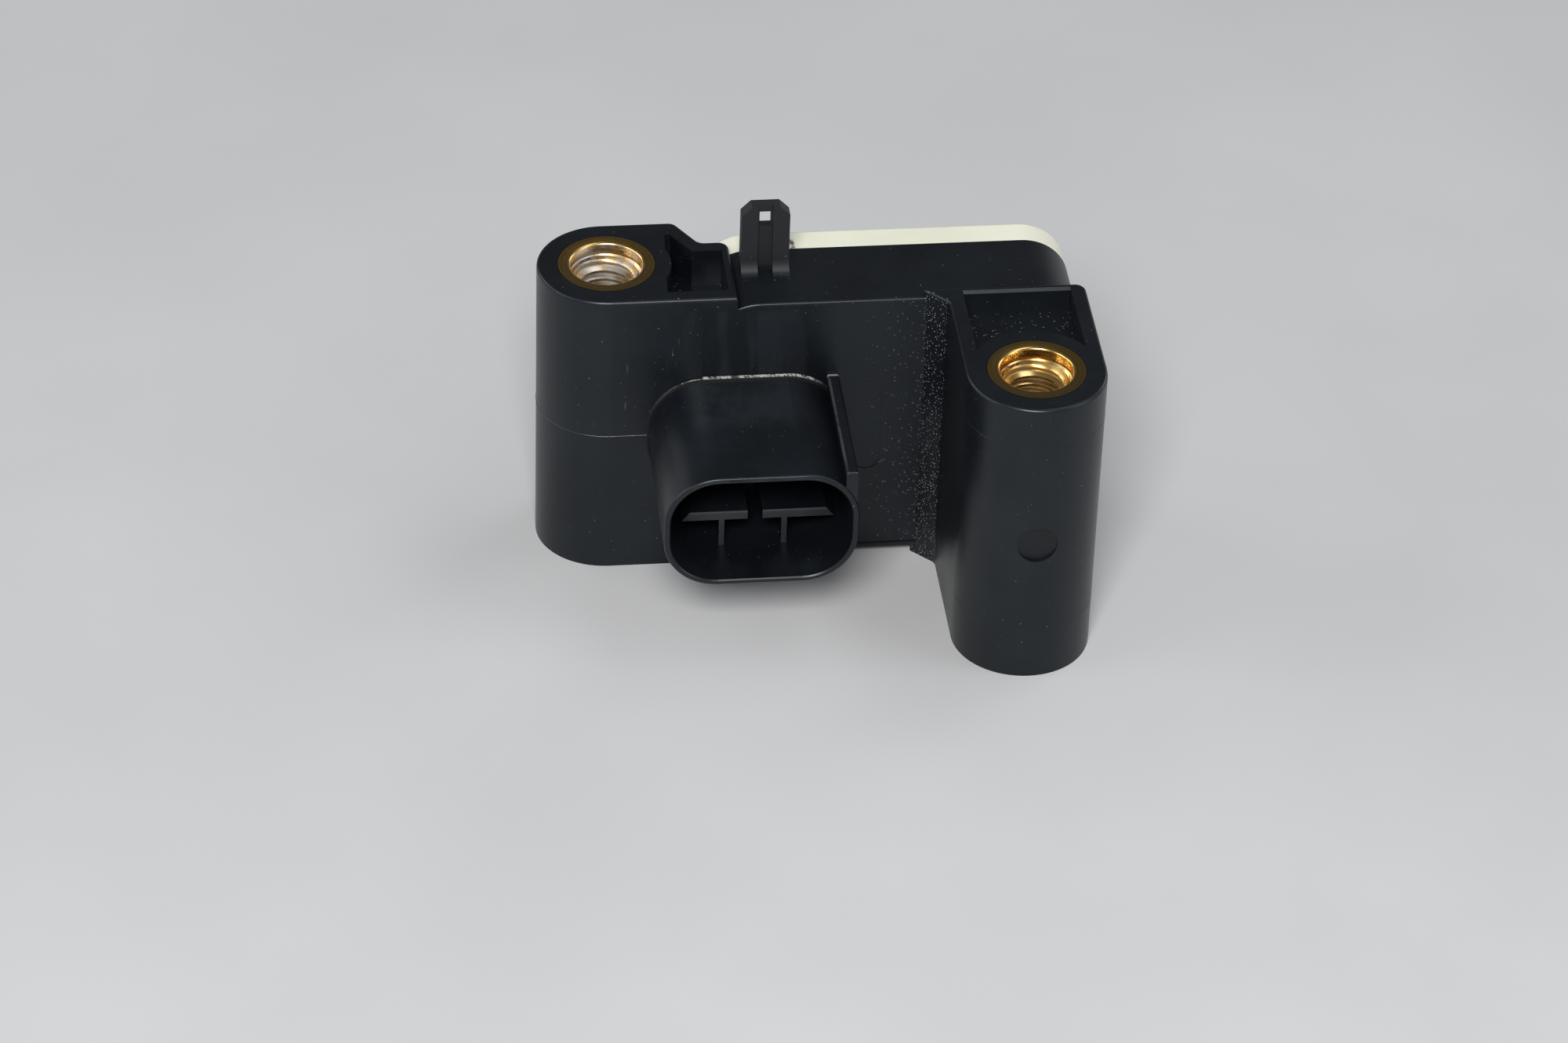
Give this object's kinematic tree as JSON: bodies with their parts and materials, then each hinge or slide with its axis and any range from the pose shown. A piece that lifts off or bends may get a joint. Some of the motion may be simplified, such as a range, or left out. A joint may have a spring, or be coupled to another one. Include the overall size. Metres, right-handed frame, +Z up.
{
  "type": "acceleration sensor",
  "caption": "Car acceleration sensor in a black moulded housing, with two brass bushed mounting bosses, a plug shroud, a locating tab and a cream rear cover over its circuit board.",
  "frame": {"origin": "axis of the left bush at the foot plane that the sensor stands on", "axes": "+Z up along the bushes; +X from the left boss along the front plate to the right; +Y to the rear cover, so the plug socket opens towards -Y"},
  "size_m": [0.0693, 0.0448, 0.0502],
  "materials": {
    "housing_plastic": "satin",
    "bush_brass": "turned",
    "cover_plastic": "satin",
    "seal_rubber": "matte",
    "board_laminate": "satin",
    "solder": "bright",
    "chip_plastic": "matte",
    "tinned_metal": "tinned",
    "ceramic": "matte",
    "resistor_body": "matte"
  },
  "bodies": {
    "root": {"housing": "housing_plastic", "left_bush": "bush_brass", "right_bush": "bush_brass", "rear_cover": "cover_plastic", "cover_seal": "seal_rubber", "circuit_board": "board_laminate", "solder_joints": "solder", "accelerometer_chip": "chip_plastic", "accelerometer_leads": "tinned_metal", "signal_chip": "chip_plastic", "signal_chip_leads": "tinned_metal", "suppressor": "chip_plastic", "capacitor_1": "ceramic", "capacitor_2": "ceramic", "capacitor_3": "ceramic", "resistor_1": "resistor_body", "resistor_2": "resistor_body", "terminal_supply": "tinned_metal", "terminal_signal": "tinned_metal", "terminal_ground": "tinned_metal"}
  },
  "joints": []
}
